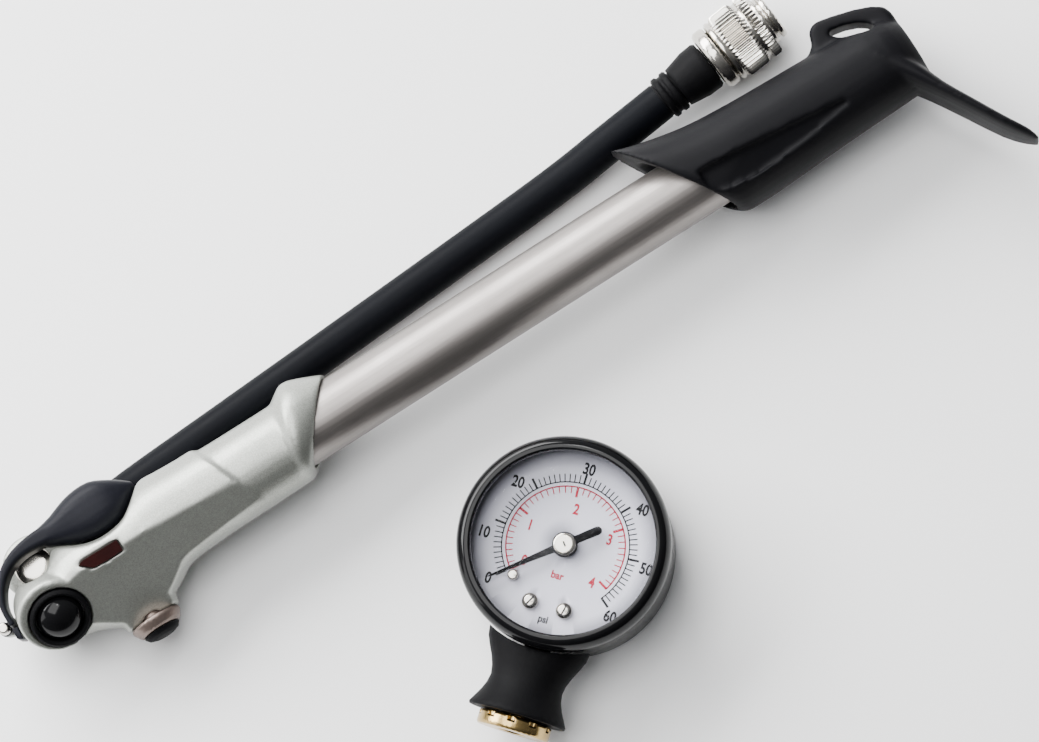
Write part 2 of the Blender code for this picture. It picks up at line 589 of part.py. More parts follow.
# ----------------------------------------------------------------- handle
def handle_group():
    """Grip, rod, piston and the screw that holds them together."""
    at = (0, 0, AXIS_Z)
    rows = smooth([wrap(176.9, 2.4, 9.0, 4.0, 4.0, -0.664), wrap(178.2, 3.6, 7.9, 4.5, 4.5, -0.6),
                   wrap(181.0, 4.1, 6.3, 4.6, 4.6, -0.45), wrap(186.0, 4.1, 4.6, 4.6, 4.6, -0.25),
                   wrap(192.0, 4.1, 3.8, 4.4, 4.4, -0.1), wrap(200.0, 3.8, 3.3, 3.8, 3.8),
                   wrap(215.0, 3.1, 2.8, 3.2, 3.2), wrap(229.0, 2.7, 2.2, 3.0, 3.0),
                   wrap(235.0, 2.3, 0.8, 1.8, 1.8), wrap(GRIP_END, 0.6, -1.2, -1.0, -1.0)], 2)
    rings = [oval(x, y0, y1, z0, z1, lean, 2.15, 36) for x, y0, y1, z0, z1, lean in rows]
    grip = loft("handle_grip", rings, MATT_BLACK, PISTON, (0, 0, 0))

    # Loop plate beside the end, with its lens-shaped hole
    loop = [(212.0, 4.0), (212.0, 9.6), (216.5, 10.5), (218.6, 12.2), (219.6, 15.0), (220.6, 16.2),
            (222.4, 16.4), (226.0, 15.6), (231.0, 14.2), (235.0, 12.6), (237.6, 10.8), (238.4, 8.6),
            (238.2, 4.0), (238.0, -5.0), (228.0, -5.0)]
    plate = prism("loop_form", loop, AXIS_Z - 4.2, AXIS_Z + 4.2, None, PISTON, bevel=1.2)
    hole = [(222.9, 12.3), (224.6, 10.4), (227.2, 8.8), (230.0, 7.6), (232.6, 7.1), (233.3, 7.9),
            (232.4, 9.4), (230.4, 10.9), (227.4, 12.1), (224.4, 12.7)]
    # Wing: a blade that sweeps away from the end, by plan rows: x, y, half thickness, half height
    wing = smooth([(229.6, 0.8, 1.6, 11.2), (233.0, -4.0, 3.0, 10.9), (235.6, -8.6, 2.6, 10.7),
                   (237.9, -13.2, 1.9, 10.6),
                   (241.6, -20.0, 1.65, 10.5), (246.0, -28.0, 1.5, 9.6), (249.0, -32.4, 1.2, 7.6),
                   (250.7, -35.0, 0.5, 4.6)], 2)
    blades = []
    for k, (x, y, half, tall) in enumerate(wing):
        ahead = wing[min(k + 1, len(wing) - 1)]
        back = wing[max(k - 1, 0)]
        along = Vector((ahead[0] - back[0], ahead[1] - back[1], 0)).normalized()
        side = Vector((-along.y, along.x, 0))
        points = []
        for i in range(16):
            a = 2 * math.pi * i / 16
            c = math.copysign(abs(math.cos(a)) ** 0.8, math.cos(a))
            s = math.copysign(abs(math.sin(a)) ** 0.7, math.sin(a))
            points.append(tuple(Vector((x, y, AXIS_Z)) + side * half * c + Vector((0, 0, tall * s))))
        blades.append(points)
    join(grip, plate, loft("wing_form", blades, None, PISTON))
    bore = [(0, 250.0), (3.4, 250.0), (3.4, 235.9), (2.0, 235.9), (2.0, ROD_END + GAP),
            (ROD_R + FIT, ROD_END + GAP), (ROD_R + FIT, GRIP_BORE_END), (GRIP_BORE_R, GRIP_BORE_END),
            (GRIP_BORE_R, 192.0), (GRIP_BORE_R + 1.6, 175.0), (GRIP_BORE_R + 3.6, 155.0), (0, 155.0)]
    cut(grip,
        prism("loop_hole", hole, 0, 40, None, PISTON),
        turned("grip_bore", bore, None, PISTON, at, ALONG_X, 32))
    # Thumb valley: a wedge that starts deep at the mouth and runs out along the grip.
    # Its rows: x, upper and lower edge in y, depth under the crown at the upper and lower edge
    crown = AXIS_Z + GRIP_BORE_R + 3.6
    valley = [(180.0, -0.3, -6.3, 1.5, 2.6), (192.0, -1.4, -7.9, 1.9, 4.3), (206.0, -2.8, -6.9, 2.4, 3.9),
              (218.0, -4.1, -5.3, 3.0, 3.3)]
    rings = [[(x, top, crown - deep), (x, low, crown - shallow), (x, low - 0.6, crown + 9),
              (x, top + 2.2, crown + 9)] for x, top, low, deep, shallow in valley]
    cut(grip, loft("thumb_valley_cut", rings, None, PISTON))

    stub_end = PISTON_X - 3.0
    shaft = [(0, ROD_END), (1.8, ROD_END), (1.8, 224.0), (0.9, 223.0), (0, 223.0)]
    hole_cut = turned("rod_screw_hole", [(0, ROD_END + 5)] + [(1.8, ROD_END + 5)] + shaft[2:],
                      None, PISTON, at, ALONG_X, 20)
    body = [(0, ROD_END), (ROD_R, ROD_END), (ROD_R, PISTON_X + PISTON_LENGTH + GAP),
            (ROD_STUB_R, PISTON_X + PISTON_LENGTH + GAP), (ROD_STUB_R, stub_end), (0, stub_end)]
    cut(turned("piston_rod", body, STEEL, PISTON, at, ALONG_X), hole_cut)

    screw = [(0, 238.0), (2.4, 238.0), (3.1, 237.4), (3.1, 236.2), (1.6, 236.2), (1.6, 226.0),
             (0, 226.0)]
    turned("rod_screw", screw, STEEL, PISTON, at, ALONG_X, 24)

    seal_at = PISTON_X + PISTON_LENGTH / 2
    outer = BARREL_BORE_R - 0.25
    head = [(outer, PISTON_X + PISTON_LENGTH), (outer, seal_at + 1.3), (outer - 2.1, seal_at + 1.3),
            (outer - 2.1, seal_at - 1.3), (outer, seal_at - 1.3), (outer, PISTON_X),
            (ROD_STUB_R + FIT, PISTON_X), (ROD_STUB_R + FIT, PISTON_X + PISTON_LENGTH)]
    turned("piston_head", head, MATT_BLACK, PISTON, at, ALONG_X)
    o_ring("piston_seal", outer - 0.9, 0.95, RUBBER, PISTON, (seal_at, 0, AXIS_Z), ALONG_X)
    nut = [(3.6 * math.cos(math.pi * i / 3), 3.6 * math.sin(math.pi * i / 3)) for i in range(6)]
    hex_nut = prism("piston_nut", nut, stub_end - 0.5, PISTON_X - GAP, STEEL, PISTON, at, ALONG_X)
    cut(hex_nut, rod("piston_nut_bore", ROD_STUB_R + FIT, 30, 60, None, PISTON, at, ALONG_X, 24))


# ------------------------------------------------------------------ gauge
def gauge_group():
    """Dial gauge: case, face, movement, stem, neck and nut."""
    inside = CASE_R - CASE_WALL
    shell = [(0, 1.5), (inside - 0.4, 1.5), (inside, 1.9), (inside, CASE_DEPTH), (CASE_R, CASE_DEPTH),
             (CASE_R, 0.8), (CASE_R - 0.8, 0), (0, 0)]
    case = turned("gauge_case", shell, GLOSS_BLACK, GAUGE, steps=48)
    stem_at = (0, 0, STEM_Z)
    cut(case, rod("case_stem_hole", STEM_R + FIT, 10, 60, None, GAUGE, stem_at, TOWARD_MINUS_Y))

    low = CASE_DEPTH + GAP
    bezel = [(BEZEL_R, low), (WINDOW_R + 1.6, low), (WINDOW_R + 1.6, LENS_Z + LENS_THICK + GAP),
             (WINDOW_R, LENS_Z + LENS_THICK + GAP), (WINDOW_R, BEZEL_TOP - 1.2), (WINDOW_R + 0.6, BEZEL_TOP - 0.4),
             (WINDOW_R + 1.6, BEZEL_TOP), (BEZEL_R - 1.2, BEZEL_TOP - 0.2),
             (BEZEL_R - 0.3, BEZEL_TOP - 0.9), (BEZEL_R, BEZEL_TOP - 2.0)]
    turned("gauge_bezel", bezel, GLOSS_BLACK, GAUGE, steps=48)
    rod("gauge_lens", WINDOW_R + 1.3, LENS_Z, LENS_Z + LENS_THICK, GLASS, GAUGE, steps=48)
    dial_top = DIAL_Z + DIAL_THICK
    dial = ring("gauge_dial", 1.7, inside - 0.5, DIAL_Z, dial_top, DIAL_WHITE, GAUGE,
                steps=48)
    spots = {"dial_screw_left": -DIAL_SCREW_X, "dial_screw_right": DIAL_SCREW_X}
    for name, x in spots.items():
        cut(dial, rod(name + "_hole", 1.0, 0, 20, None, GAUGE, (x, DIAL_SCREW_Y, 0), steps=16))
        screw = [(0, dial_top + 1.5), (1.2, dial_top + 1.4), (1.9, dial_top + 0.8),
                 (1.9, dial_top + 0.25), (0.75, dial_top + 0.25), (0.75, DIAL_Z - 1.6),
                 (0, DIAL_Z - 1.6)]
        turned(name, screw, NICKEL, GAUGE, (x, DIAL_SCREW_Y, 0), steps=24)
    cut(dial, rod("stop_pin_hole", 0.7, 0, 20, None, GAUGE, STOP_AT, steps=16))
    pin = [(0, dial_top + 1.6), (1.1, dial_top + 1.5), (1.3, dial_top + 1.2), (1.3, dial_top + 0.25),
           (0.5, dial_top + 0.25), (0.5, DIAL_Z - 0.8), (0, DIAL_Z - 0.8)]
    turned("stop_pin", pin, NICKEL, GAUGE, STOP_AT, steps=20)

    plate = prism("movement_plate", [(-6, -7), (6, -7), (6, 6), (-6, 6)], DIAL_Z - 2.6, DIAL_Z - 1.8, BRASS,
                  GAUGE)
    cut(plate, rod("movement_bore", 1.1, 0, 20, None, GAUGE, steps=16))
    turns = 20
    arc = [(15.5 * math.cos(a), 15.5 * math.sin(a), DIAL_Z - 4.8)
           for a in (math.radians(-62 + 262 * i / turns) for i in range(turns + 1))]
    tube("bourdon_tube", arc, 1.9, BRASS, GAUGE)

    socket = box("gauge_socket", (-5.0, 1.2 - inside, STEM_Z - 4.0), (5.0, 5.0 - inside, DIAL_Z - GAP), BRASS,
                 GAUGE)
    join(socket, rod("stem_form", STEM_R, inside - 3.8, STEM_END, None, GAUGE, stem_at, TOWARD_MINUS_Y))
    cut(socket, rod("stem_bore", 1.2, 10, 90, None, GAUGE, stem_at, TOWARD_MINUS_Y, 16))

    rows = smooth([(CASE_R - 6.0, 12.6, 7.6), (CASE_R, 11.8, 8.0), (CASE_R + 0.28 * NECK_LENGTH, 9.7, 8.0),
                   (CASE_R + 0.54 * NECK_LENGTH, 8.6, 8.0), (CASE_R + 0.78 * NECK_LENGTH, 9.7, 9.6),
                   (FLARE_AT, FLARE_R, FLARE_R), (FLARE_AT + 0.6, FLARE_R - 0.5, FLARE_R - 0.5)], 2)
    neck = []
    for s, wide, tall in rows:
        neck.append([(wide * math.cos(2 * math.pi * i / 28), -s,
                      STEM_Z + tall * math.sin(2 * math.pi * i / 28)) for i in range(28)])
    boot = loft("gauge_neck", neck, RUBBER, GAUGE)
    cut(boot, rod("neck_case_cut", BEZEL_R + GAP, -40, 60, None, GAUGE, steps=48),
        rod("neck_bore", STEM_R + FIT, 10, 90, None, GAUGE, stem_at, TOWARD_MINUS_Y))

    nut_end = NUT_START + NUT_LENGTH
    teeth = 10
    body = [(NUT_R - 0.3, NUT_START + NUT_LENGTH), (NUT_R, nut_end - 0.4), (NUT_R, NUT_START + 0.3),
            (NUT_R - 0.5, NUT_START), (STEM_R + FIT, NUT_START), (STEM_R + FIT, nut_end)]
    nut = turned("gauge_nut", body, BRASS, NUT, stem_at, TOWARD_MINUS_Y, 40)
    for i in range(teeth):
        a = 2 * math.pi * (i + 0.5) / teeth
        cut(nut, rod("nut_notch_%d" % i, 0.95, 20, NUT_START + 1.3, None, NUT,
                     (NUT_R * math.cos(a), 0, STEM_Z + NUT_R * math.sin(a)), TOWARD_MINUS_Y, 8))
    ring("nut_seal", 1.6, STEM_R - 0.1, STEM_END + GAP, nut_end - 0.5, RUBBER, NUT, stem_at,
         TOWARD_MINUS_Y, 24)

    needle_z = dial_top + 1.9
    outline = [(19.3, 0.0), (18.6, 0.22), (2.4, 0.85), (-2.4, 0.9), (-8.2, 1.0), (-8.9, 0.8),
               (-9.3, 0.0), (-8.9, -0.8), (-8.2, -1.0), (-2.4, -0.9), (2.4, -0.85), (18.6, -0.22)]
    needle = prism("gauge_needle", outline, needle_z, needle_z + 0.5, GLOSS_BLACK, NEEDLE)
    hub = [(0, needle_z + 0.7), (2.9, needle_z + 0.7), (3.0, needle_z - 0.3), (0.8, needle_z - 0.4),
           (0.8, DIAL_Z - 3.8), (0, DIAL_Z - 3.8)]
    join(needle, turned("needle_hub_form", hub, None, NEEDLE, steps=32))
    cap = [(0, needle_z + 1.5), (2.2, needle_z + 1.45), (2.6, needle_z + 1.2), (2.6, needle_z + 0.95),
           (0, needle_z + 0.95)]
    turned("needle_cap", cap, NICKEL, NEEDLE, steps=32)


clear_scene()
PARTS = collection("mini_pump")
CUTTERS = collection("cutters")

PEARL = material("pearl_silver_casting", (0.62, 0.63, 0.60), 0.34, 0.85)
TITANIUM = material("titanium_grey_barrel", (0.44, 0.41, 0.40), 0.36, 0.85)
MATT_BLACK = material("matt_black_grip", (0.018, 0.018, 0.020), 0.55, 0.0)
RUBBER = material("black_rubber", (0.015, 0.015, 0.016), 0.7, 0.0)
HOSE_RUBBER = material("blue_black_hose", (0.012, 0.014, 0.022), 0.5, 0.0)
BLUE_BLACK = material("blue_black_lever", (0.045, 0.048, 0.065), 0.38, 0.0)
GLOSS_BLACK = material("gloss_black", (0.008, 0.008, 0.009), 0.12, 0.0)
NICKEL = material("bright_nickel", (0.72, 0.70, 0.66), 0.22, 1.0)
BRASS = material("brass", (0.78, 0.60, 0.30), 0.3, 1.0)
BRONZE = material("pinkish_bronze", (0.30, 0.23, 0.20), 0.35, 0.8)
STEEL = material("steel", (0.56, 0.57, 0.58), 0.3, 1.0)
MAROON = material("maroon_inlay", (0.035, 0.006, 0.006), 0.35, 0.0)
DIAL_WHITE = material("dial_white", (0.80, 0.80, 0.86), 0.45, 0.0)
GLASS = material("clear_lens", (0.9, 0.92, 0.95), 0.05, 0.0)

PUMP = empty("pump_frame", (-REST_X, -REST_Y, 0))
NOSE = empty("nose_frame", NOSE_AT, (NOSE_TILT, 0, 0), PUMP)
NOSE_CAP = empty("nose_cap_frame", NOSE_CAP_AT, parent=NOSE)
PISTON = empty("piston_frame", (0, 0, 0), parent=PUMP)
HOSE = empty("hose_frame", (*HUB_AT, 0), parent=PUMP)
CHUCK = empty("chuck_frame", (CHUCK_AT[0] - HUB_AT[0], CHUCK_AT[1] - HUB_AT[1], CHUCK_AT[2]),
              (0, math.pi / 2 - CHUCK_RISE, CHUCK_YAW), HOSE)

GAUGE = empty("gauge_frame", (*GAUGE_AT, 0.1), (0, 0, GAUGE_YAW), PUMP)
NUT = empty("nut_frame", (0, 0, 0), parent=GAUGE)
NEEDLE = empty("needle_frame", (0, 0, 0), (0, 0, NEEDLE_ZERO), GAUGE)

head_casting()
head_trim()
barrel_group()
lever_group()
hose_group()
handle_group()
gauge_group()
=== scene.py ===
"""Looks of the mini pump: camera, light, materials, and the pieces with finer shapes than the CAD's."""
import json
import math

import bmesh
import bpy
from mathutils import Matrix, Vector


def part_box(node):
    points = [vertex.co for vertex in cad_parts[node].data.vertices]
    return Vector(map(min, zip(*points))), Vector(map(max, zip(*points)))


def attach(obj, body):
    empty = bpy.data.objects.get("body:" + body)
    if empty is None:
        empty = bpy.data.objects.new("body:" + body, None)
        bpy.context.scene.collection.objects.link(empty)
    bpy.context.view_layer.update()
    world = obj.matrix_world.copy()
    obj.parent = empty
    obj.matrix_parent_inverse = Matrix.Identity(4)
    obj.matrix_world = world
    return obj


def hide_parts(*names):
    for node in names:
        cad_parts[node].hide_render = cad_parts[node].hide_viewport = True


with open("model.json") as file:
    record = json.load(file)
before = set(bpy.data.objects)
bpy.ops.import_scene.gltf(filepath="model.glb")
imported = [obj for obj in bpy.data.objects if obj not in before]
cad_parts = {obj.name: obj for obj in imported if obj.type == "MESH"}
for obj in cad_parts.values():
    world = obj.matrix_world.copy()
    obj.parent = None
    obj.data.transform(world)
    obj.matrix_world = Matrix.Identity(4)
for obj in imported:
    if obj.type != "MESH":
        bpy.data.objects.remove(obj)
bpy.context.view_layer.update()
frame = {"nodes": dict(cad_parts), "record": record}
nodes = frame["nodes"]
joints = {joint["name"]: joint for joint in frame["record"]["behaviour"]["joints"]}

# ---------------------------------------------------------------- camera
# The view looks almost straight down, 10 degrees from the front, with +X up to the right.
lean = math.radians(10.0)
spin = math.radians(32.45)
along_barrel = Vector((1, 0, 0))
across = Vector((0, math.cos(lean), math.sin(lean)))
back = Vector((0, -math.sin(lean), math.cos(lean)))
right = along_barrel * math.cos(spin) - across * math.sin(spin)
up = along_barrel * math.sin(spin) + across * math.cos(spin)
barrel_low, barrel_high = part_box("barrel_tube")
barrel_axis = Vector((0, (barrel_low[1] + barrel_high[1]) / 2, (barrel_low[2] + barrel_high[2]) / 2))
target = barrel_axis + along_barrel * 0.1091 - across * 0.0143 - up * 0.0007
camera = bpy.data.objects.new("camera", bpy.data.cameras.new("camera"))
bpy.context.scene.collection.objects.link(camera)
camera.data.lens = 200
camera.data.sensor_width = 36
view_width = 0.2416
distance = view_width * camera.data.lens / camera.data.sensor_width
place = target + back * distance
turn = Matrix((right, up, back)).transposed().to_4x4()
camera.matrix_world = Matrix.Translation(place) @ turn
camera.data.clip_start = 0.05
camera.data.dof.use_dof = False
bpy.context.scene.camera = camera

# ------------------------------------------------------------------ floor
# A pale sweep under the object, larger than any view of it.
mesh = bpy.data.meshes.new("floor")
bm = bmesh.new()
bmesh.ops.create_grid(bm, x_segments=1, y_segments=1, size=3.0)
bmesh.ops.translate(bm, vec=(0, 0, -0.0004), verts=bm.verts)
bm.to_mesh(mesh)
bm.free()
floor = bpy.data.objects.new("floor", mesh)
bpy.context.scene.collection.objects.link(floor)
paper = bpy.data.materials.new("floor_paper")
paper.use_nodes = True
shader = paper.node_tree.nodes["Principled BSDF"]
shader.inputs["Base Color"].default_value = (0.97, 0.97, 0.97, 1)
shader.inputs["Roughness"].default_value = 0.9
shader.inputs["Specular IOR Level"].default_value = 0.1
mesh.materials.append(paper)

# ----------------------------------------------------------------- lights
# A broad key from the hose side and a soft panel above, with the surroundings dark at the front.
world = bpy.data.worlds.new("studio")
bpy.context.scene.world = world
world.use_nodes = True
sky = world.node_tree
ray = sky.nodes.new("ShaderNodeTexCoord")
parts = sky.nodes.new("ShaderNodeSeparateXYZ")
sky.links.new(ray.outputs["Generated"], parts.inputs["Vector"])
ramp = sky.nodes.new("ShaderNodeMapRange")
ramp.inputs["From Min"].default_value = -0.9
ramp.inputs["From Max"].default_value = 0.9
ramp.inputs["To Min"].default_value = 0.06
ramp.inputs["To Max"].default_value = 0.62
sky.links.new(parts.outputs["Y"], ramp.inputs["Value"])
sky.links.new(ramp.outputs["Result"], sky.nodes["Background"].inputs["Strength"])
sky.nodes["Background"].inputs["Color"].default_value = (0.95, 0.97, 1.0, 1)


def area_light(name, direction, reach, size, power, tint=(1, 1, 1)):
    """Soft box that faces the object from a direction."""
    lamp = bpy.data.lights.new(name, "AREA")
    lamp.shape = "RECTANGLE"
    lamp.size = size[0]
    lamp.size_y = size[1]
    lamp.energy = power
    lamp.color = tint
    obj = bpy.data.objects.new(name, lamp)
    bpy.context.scene.collection.objects.link(obj)
    obj.location = target + Vector(direction).normalized() * reach
    obj.rotation_euler = Vector(direction).to_track_quat("Z", "Y").to_euler()
    obj.visible_camera = False
    return obj


area_light("key", (-0.30, 1.0, 0.62), 0.95, (1.3, 0.55), 42.0)
area_light("top", (-0.15, 0.22, 1.0), 1.1, (0.9, 0.7), 13.0)
area_light("side", (-1.0, 0.25, 0.35), 0.9, (0.4, 0.5), 2.5)
area_light("spark", (0.18, 0.32, 1.0), 0.9, (0.05, 0.05), 0.45)


# -------------------------------------------------------------- materials
# Two shared groups: how worn and smudged a spot is, and a fine relief.
def add(tree, kind, inputs=None, **settings):
    """Add a shader node with its settings, values and links."""
    item = tree.nodes.new("ShaderNode" + kind)
    for key, value in settings.items():
        setattr(item, key, value)
    for key, value in (inputs or {}).items():
        if isinstance(value, bpy.types.NodeSocket):
            tree.links.new(value, item.inputs[key])
        else:
            item.inputs[key].default_value = value
    return item


def new_group(name, inputs, outputs):
    """Make a node group with float inputs and float outputs."""
    group = bpy.data.node_groups.new(name, "ShaderNodeTree")
    for label, value in inputs:
        socket = group.interface.new_socket(label, in_out="INPUT", socket_type="NodeSocketFloat")
        socket.default_value = value
    for label in outputs:
        group.interface.new_socket(label, in_out="OUTPUT", socket_type="NodeSocketFloat")
    return group, group.nodes.new("NodeGroupInput"), group.nodes.new("NodeGroupOutput")


wear_group, given, result = new_group("edge_wear", [("Width", 0.0004), ("Amount", 1.0)], ["Worn", "Smudge"])
spot = add(wear_group, "TexCoord")
rounded = add(wear_group, "Bevel", {"Radius": given.outputs["Width"]}, samples=6)
flat = add(wear_group, "NewGeometry")
same = add(wear_group, "VectorMath", {0: rounded.outputs["Normal"], 1: flat.outputs["Normal"]},
           operation="DOT_PRODUCT")
edge = add(wear_group, "MapRange", {"Value": same.outputs["Value"], "From Min": 0.985, "From Max": 0.80})
patches = add(wear_group, "TexNoise", {"Vector": spot.outputs["Object"], "Scale": 900.0, "Detail": 4.0})
broken = add(wear_group, "MapRange", {"Value": patches.outputs["Fac"], "From Min": 0.42, "From Max": 0.62})
worn = add(wear_group, "Math", {0: edge.outputs["Result"], 1: broken.outputs["Result"]},
           operation="MULTIPLY")
worn = add(wear_group, "Math", {0: worn.outputs["Value"], 1: given.outputs["Amount"]},
           operation="MULTIPLY", use_clamp=True)
cloud = add(wear_group, "TexNoise", {"Vector": spot.outputs["Object"], "Scale": 70.0, "Detail": 5.0,
                                     "Roughness": 0.6})
cloud = add(wear_group, "MapRange", {"Value": cloud.outputs["Fac"], "From Min": 0.3, "From Max": 0.7})
wear_group.links.new(worn.outputs["Value"], result.inputs["Worn"])
wear_group.links.new(cloud.outputs["Result"], result.inputs["Smudge"])

relief_group, given, result = new_group("fine_relief", [("Scale", 4000.0), ("Stretch", 1.0)],
                                        ["Height", "Fleck"])
spot = add(relief_group, "TexCoord")
squeeze = add(relief_group, "CombineXYZ", {"X": given.outputs["Stretch"], "Y": 1.0, "Z": 1.0})
spread = add(relief_group, "VectorMath", {0: spot.outputs["Object"], 1: squeeze.outputs["Vector"]},
             operation="MULTIPLY")
grain = add(relief_group, "TexNoise", {"Vector": spread.outputs["Vector"], "Scale": given.outputs["Scale"],
                                       "Detail": 3.0, "Roughness": 0.55})
flake = add(relief_group, "TexVoronoi", {"Vector": spread.outputs["Vector"],
                                         "Scale": given.outputs["Scale"]})
shine = add(relief_group, "SeparateColor", {"Color": flake.outputs["Color"]})
relief_group.links.new(grain.outputs["Fac"], result.inputs["Height"])
relief_group.links.new(shine.outputs["Red"], result.inputs["Fleck"])


def surface(name, base, shade, worn_colour, rough, metallic=0.0, scale=4000.0, stretch=1.0, depth=0.05,
            fleck=0.0, wear=1.0, width=0.0003, coat=0.0, specular=0.5):
    """Principled material whose colour, roughness and relief vary over the surface."""
    mat = bpy.data.materials.new(name)
    mat.use_nodes = True
    tree = mat.node_tree
    shader = tree.nodes["Principled BSDF"]
    state = tree.nodes.new("ShaderNodeGroup")
    state.node_tree = wear_group
    state.inputs["Width"].default_value = width
    state.inputs["Amount"].default_value = wear
    relief = tree.nodes.new("ShaderNodeGroup")
    relief.node_tree = relief_group
    relief.inputs["Scale"].default_value = scale
    relief.inputs["Stretch"].default_value = stretch
    colour = add(tree, "Mix", {0: state.outputs["Smudge"], 6: (*base, 1), 7: (*shade, 1)}, data_type="RGBA")
    bright = add(tree, "MapRange", {"Value": relief.outputs["Fleck"], "To Min": 1.0 - fleck,
                                    "To Max": 1.0 + fleck})
    flecked = add(tree, "VectorMath", {0: colour.outputs[2], "Scale": bright.outputs["Result"]},
                  operation="SCALE")
    edge_colour = add(tree, "Mix", {0: state.outputs["Worn"], 6: flecked.outputs["Vector"],
                                    7: (*worn_colour, 1)}, data_type="RGBA")
    tree.links.new(edge_colour.outputs[2], shader.inputs["Base Color"])
    gloss = add(tree, "MapRange", {"Value": state.outputs["Smudge"], "To Min": rough[0], "To Max": rough[1]})
    tree.links.new(gloss.outputs["Result"], shader.inputs["Roughness"])
    bump = add(tree, "Bump", {"Height": relief.outputs["Height"], "Strength": depth, "Distance": 0.0001})
    tree.links.new(bump.outputs["Normal"], shader.inputs["Normal"])
    shader.inputs["Metallic"].default_value = metallic
    shader.inputs["Specular IOR Level"].default_value = specular
    shader.inputs["Coat Weight"].default_value = coat
    shader.inputs["Coat Roughness"].default_value = 0.08
    return mat


pearl = surface("pearl_casting", (0.33, 0.34, 0.312), (0.285, 0.295, 0.268), (0.48, 0.48, 0.46),
                (0.38, 0.45), metallic=0.80, scale=5200.0, depth=0.18, fleck=0.16, wear=0.4, width=0.0004,
                coat=0.12)
anodised = surface("anodised_barrel", (0.255, 0.236, 0.225), (0.23, 0.212, 0.20), (0.45, 0.44, 0.43),
                   (0.38, 0.44), metallic=0.9, scale=2600.0, stretch=0.05, depth=0.10, fleck=0.04, wear=0.5)
grip_plastic = surface("matt_grip", (0.0035, 0.0035, 0.0045), (0.0050, 0.0050, 0.0060), (0.02, 0.02, 0.021),
                       (0.46, 0.56), scale=3800.0, depth=0.22, fleck=0.05, wear=0.5, specular=0.07)
soft_rubber = surface("soft_rubber", (0.003, 0.003, 0.0035), (0.0045, 0.0045, 0.005), (0.015, 0.015, 0.015),
                      (0.50, 0.62), scale=2500.0, depth=0.25, fleck=0.05, wear=0.4, specular=0.05)
hose_skin = surface("hose_skin", (0.0025, 0.0028, 0.0040), (0.0035, 0.0040, 0.0055), (0.012, 0.012, 0.014),
                    (0.42, 0.52), scale=1800.0, stretch=0.2, depth=0.16, fleck=0.05, wear=0.2,
                    specular=0.04)
lever_paint = surface("lever_paint", (0.0050, 0.0053, 0.0080), (0.007, 0.0073, 0.0105), (0.08, 0.08, 0.09),
                      (0.36, 0.44), scale=5000.0, depth=0.18, fleck=0.10, wear=0.4, specular=0.08)
black_gloss = surface("black_gloss", (0.0025, 0.0025, 0.003), (0.004, 0.004, 0.0045), (0.02, 0.02, 0.02),
                      (0.08, 0.13), scale=3000.0, depth=0.01, wear=0.2, specular=0.18)
case_black = surface("case_black", (0.004, 0.004, 0.0045), (0.006, 0.006, 0.0065), (0.03, 0.03, 0.03),
                     (0.22, 0.32), scale=2600.0, depth=0.08, fleck=0.05, wear=0.4, specular=0.20)
nickel = surface("nickel_plate", (0.62, 0.595, 0.55), (0.54, 0.51, 0.46), (0.75, 0.73, 0.70), (0.14, 0.24),
                 metallic=1.0, scale=3000.0, fleck=0.04, wear=0.5)
brass = surface("machined_brass", (0.52, 0.37, 0.15), (0.38, 0.26, 0.10), (0.88, 0.74, 0.44), (0.18, 0.30),
                metallic=1.0, scale=2400.0, stretch=0.1, depth=0.10, fleck=0.04, wear=0.7)
bronze = surface("anodised_cap", (0.20, 0.155, 0.135), (0.155, 0.118, 0.10), (0.42, 0.36, 0.33),
                 (0.34, 0.44), metallic=0.7, scale=2600.0, depth=0.08, fleck=0.05, wear=0.6)
turned_steel = surface("turned_steel", (0.55, 0.555, 0.56), (0.47, 0.47, 0.48), (0.75, 0.75, 0.75),
                       (0.18, 0.28), metallic=1.0, scale=2600.0, stretch=0.08, depth=0.10, fleck=0.03,
                       wear=0.4)
maroon = surface("maroon_enamel", (0.014, 0.0020, 0.0018), (0.006, 0.0015, 0.0015), (0.06, 0.02, 0.02),
                 (0.40, 0.50), scale=2600.0, fleck=0.08, wear=0.3, specular=0.03)
dial_paint = surface("dial_paint", (0.66, 0.66, 0.75), (0.60, 0.60, 0.70), (0.7, 0.7, 0.75), (0.36, 0.46),
                     scale=3000.0, fleck=0.02, wear=0.0, specular=0.3)

ink_black = surface("ink_black", (0.006, 0.006, 0.008), (0.010, 0.010, 0.012), (0.03, 0.03, 0.03),
                    (0.45, 0.55), scale=3000.0, depth=0.02, wear=0.0, specular=0.2)
ink_red = surface("ink_red", (0.42, 0.012, 0.040), (0.34, 0.010, 0.032), (0.4, 0.1, 0.1), (0.45, 0.55),
                  scale=3000.0, depth=0.02, wear=0.0, specular=0.2)

finishes = {
    pearl: ["head_casting", "hose_hub"],
    anodised: ["barrel_tube"],
    grip_plastic: ["handle_grip", "piston_head", "rod_guide"],
    soft_rubber: ["nose_ring", "boss_pad", "barrel_seal", "valve_flap", "top_bumper", "hose_collar",
                  "hose_boot", "chuck_seal", "piston_seal", "gauge_neck", "nut_seal"],
    hose_skin: ["hose_tube"],
    lever_paint: ["foot_lever", "hinge_cover"],
    black_gloss: ["nose_cap", "gauge_bezel"],
    ink_black: ["gauge_needle"],
    case_black: ["gauge_case"],
    nickel: ["lever_pin", "hub_bolt", "chuck_body", "chuck_ring", "dial_screw_left", "dial_screw_right",
             "stop_pin", "needle_cap"],
    brass: ["valve_seat", "valve_pin", "bourdon_tube", "movement_plate", "gauge_socket", "gauge_nut"],
    bronze: ["boss_cap"],
    turned_steel: ["piston_rod", "rod_screw", "piston_nut"],
    maroon: ["label_inlay"],
    dial_paint: ["gauge_dial"],
}
